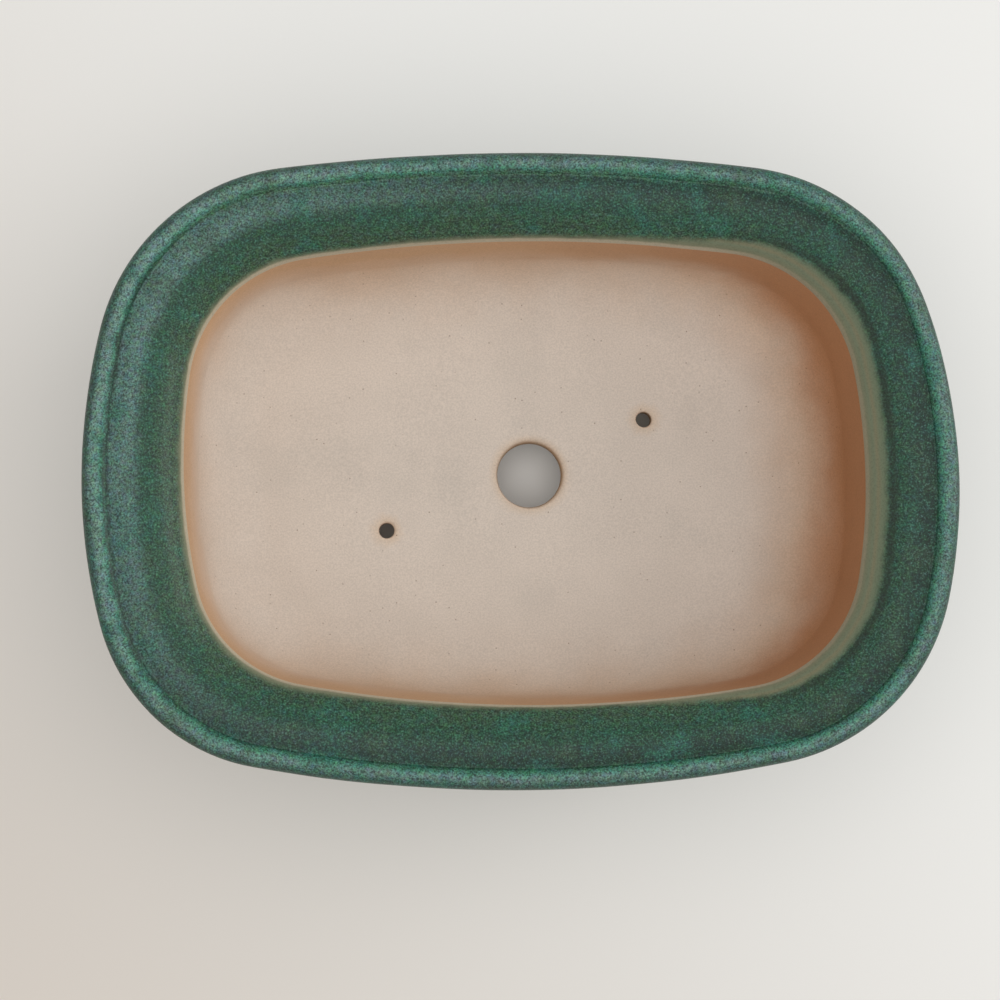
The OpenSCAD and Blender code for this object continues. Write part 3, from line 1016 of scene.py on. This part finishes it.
collar = bmesh.new()
hoop(collar, chain(flare, straight(flare[-1], groove_face[0], 2), groove_face, slope_face, turn_face,
                   [p for p in inner_wall if p.y > seam_height],
                   [Vector((inner_inset(seam_height), seam_height))]))
finish_piece(collar, "pot_rim", bare_clay, "flashed_clay", "rim")

bead = bmesh.new()
hoop(bead, chain([Vector((flange_edge, flange_under))], bead_face))
finish_piece(bead, "rolled_bead", toasted_clay, "flashed_clay", "lip_bead")

# %% [markdown]
# ## The feet
#
# Four feet are luted under the corners. Each is a short curved bar that follows the corner of the wall,
# tapers towards the table and is scooped away under both ends, so that the pot seems to stand on its
# corners and air can pass beneath. Its cross-section is spun about the centre of the corner, capped, and
# lifted at the ends. Glaze is poured over the outer face only and stops short of the table, or the pot
# would stick to the kiln shelf.

# %% Spin and scoop the feet
foot_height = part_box("foot_front_left")[1].z
bare_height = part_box("foot_glaze")[0].z
FOOT_WIDTH = 12 * MM
FOOT_TAPER = 1.2 * MM
FOOT_EDGE = 1.4 * MM
FOOT_SCOOP = 6 * MM
foot_inset = base_inset + edge_radius + 0.5 * MM

outer_top = Vector((0, foot_height))
inner_top = Vector((-FOOT_WIDTH, foot_height))
outer_turn = (-FOOT_TAPER - FOOT_EDGE, FOOT_EDGE)
inner_turn = (FOOT_TAPER + FOOT_EDGE - FOOT_WIDTH, FOOT_EDGE)
foot_section = chain(straight(outer_top, (-FOOT_TAPER, FOOT_EDGE), 10), arc(outer_turn, FOOT_EDGE, 0, -90, 6),
                     straight((outer_turn[0], 0), (inner_turn[0], 0), 4),
                     arc(inner_turn, FOOT_EDGE, -90, -180, 6),
                     straight((-FOOT_WIDTH + FOOT_TAPER, FOOT_EDGE), inner_top, 10))


def foot_face(height):
    """How far the outer face of a foot has tapered in at a height."""
    return -FOOT_TAPER * (foot_height - height) / (foot_height - FOOT_EDGE)


SKIN = 0.5 * MM
skin_top = foot_height - SKIN
skin_heights = np.linspace(bare_height, skin_top, 12).tolist()
skin_section = ([Vector((foot_face(h), h)) for h in reversed(skin_heights)]
                + [Vector((foot_face(h) + SKIN * min(1.0, 0.25 + (h - bare_height) / MM), h))
                   for h in skin_heights])


def spun_bar(bm, section, corner, trim):
    """A closed cross-section of (reach, height) spun round one corner of the outline, capped and scooped."""
    centre, radius, enter, turn, steps = corner
    enter += trim / radius
    turn -= 2 * trim / radius
    aim = Vector((math.cos(enter), math.sin(enter)))
    loop = [bm.verts.new((*(centre + aim * (radius + reach)), height)) for reach, height in section]
    edges = [bm.edges.new(pair) for pair in zip(loop, loop[1:] + loop[:1])]
    bmesh.ops.spin(bm, geom=loop + edges, cent=(centre.x, centre.y, 0), axis=(0, 0, 1), dvec=(0, 0, 0),
                   angle=turn, steps=40, use_merge=False, use_duplicate=False)
    bmesh.ops.holes_fill(bm, edges=[edge for edge in bm.edges if edge.is_boundary], sides=0)
    for point in bm.verts:
        round_corner = (bearing(point.co.xy - centre) - enter) % (2 * math.pi)
        from_end = (min(round_corner, abs(turn - round_corner)) * radius) + trim
        hollow = math.sqrt(max(FOOT_SCOOP ** 2 - from_end ** 2, 0.0))
        point.co.z = hollow + point.co.z * (foot_height - hollow) / foot_height


def foot_piece(name, material, slot, node, section, trim, *corners):
    """A foot, or the skins of all four feet. The glaze on a foot is as thick as on the wall."""
    bm = bmesh.new()
    mouth_mark = add_marks(bm)[0]
    for k in corners:
        bar = bmesh.new()
        spun_bar(bar, section, outline_arcs(foot_inset)[k], trim)
        bar.to_mesh(ring_sheet)
        bar.free()
        bm.from_mesh(ring_sheet)
    for point in bm.verts:
        point[mouth_mark] = RUN_END
    finish_piece(bm, name, material, slot, node)


CORNER_ARCS = {"back_right": 1, "back_left": 3, "front_left": 5, "front_right": 7}
SKIN_TRIM = 0.6 * MM
for corner, number in CORNER_ARCS.items():
    foot_piece(f"{corner}_foot", toasted_clay, "flashed_clay", f"foot_{corner}", foot_section, 0, number)
foot_piece("foot_glaze_skins", green_glaze, "green_glaze", "foot_glaze", skin_section, SKIN_TRIM,
           *CORNER_ARCS.values())

# %% [markdown]
# ## Coats of glaze
#
# Glaze is a thin skin of glass on the clay: about two thirds of a millimetre where it is poured thick, half
# of that near the mouth, and almost nothing where it stops. Each coat is a closed shell. Its inner side is
# the line of the clay and its outer side is that line moved off the clay by the thickness. Moving a line off
# a sharp inside corner folds it, so it is eased a few times in the groove beside the bead, which is also what
# glaze does when it pools.

# %% The glazed line
def outward(path, i):
    """The direction off the clay at a point of a path."""
    run = (path[min(i + 1, len(path) - 1)] - path[max(i - 1, 0)]).normalized()
    return Vector((-run.y, run.x))


outside_path = chain(lower_edge[4:], slab_side, outer_wall, flare)
rim_path = chain(bead_face, groove_face, slope_face)
lip_path = turn_face
whole_path = chain(outside_path, rim_path, lip_path)
flange_row = len(outside_path) - 1
arris_row = len(chain(outside_path, rim_path)) - 1
last_row = len(whole_path) - 1
steps_along = [0.0]
for one, other in zip(whole_path, whole_path[1:]):
    steps_along.append(steps_along[-1] + (other - one).length)
glazed_length = steps_along[-1]
thickness = np.interp(range(last_row + 1), [0, 3, arris_row - 4, arris_row, last_row - 2, last_row],
                      [0.3 * MM, COAT, COAT, THIN_COAT, THIN_COAT, 0.15 * MM])
coated_path = [p + outward(whole_path, i) * float(thickness[i]) for i, p in enumerate(whole_path)]
# The glaze pools in the groove, so its face is eased there until the step under it has gone.
first_eased = flange_row + 16
last_eased = flange_row + len(bead_face) + 10
for easing in range(7):
    eased = [(coated_path[i - 1] + 2 * coated_path[i] + coated_path[i + 1]) / 4
             for i in range(first_eased, last_eased)]
    coated_path[first_eased:last_eased] = eased
print(f"glazed line: {glazed_length / MM:.0f} mm long in {last_row} steps")

# %% [markdown]
# ## Three coats along one line
#
# The line is cut at the flange and at the arris, into the coats of the wall, the rim and the mouth. Pieces
# of one line meet in shared rings, and the colours run on across the cuts.

# %% Glaze coats
def coat(name, material, slot, node, first, last):
    """One coat of glaze between two rows of the glazed path: the clay side and the outer side, closed."""
    rows = list(range(first, last + 1))
    section = [whole_path[i] for i in rows] + [coated_path[i] for i in reversed(rows)]
    to_mouth = [glazed_length - steps_along[i] for i in rows + rows[::-1]]
    shell = bmesh.new()
    hoop(shell, section, to_mouth)
    finish_piece(shell, name, material, slot, node)


coat("rim_glaze_coat", green_glaze, "green_glaze", "rim_glaze", flange_row, arris_row)
coat("lip_glaze_coat", thin_glaze, "thin_glaze", "lip_glaze", arris_row, last_row)
coat("wall_glaze_coat", green_glaze, "green_glaze", "wall_glaze", 0, flange_row)

bpy.data.meshes.remove(ring_sheet)
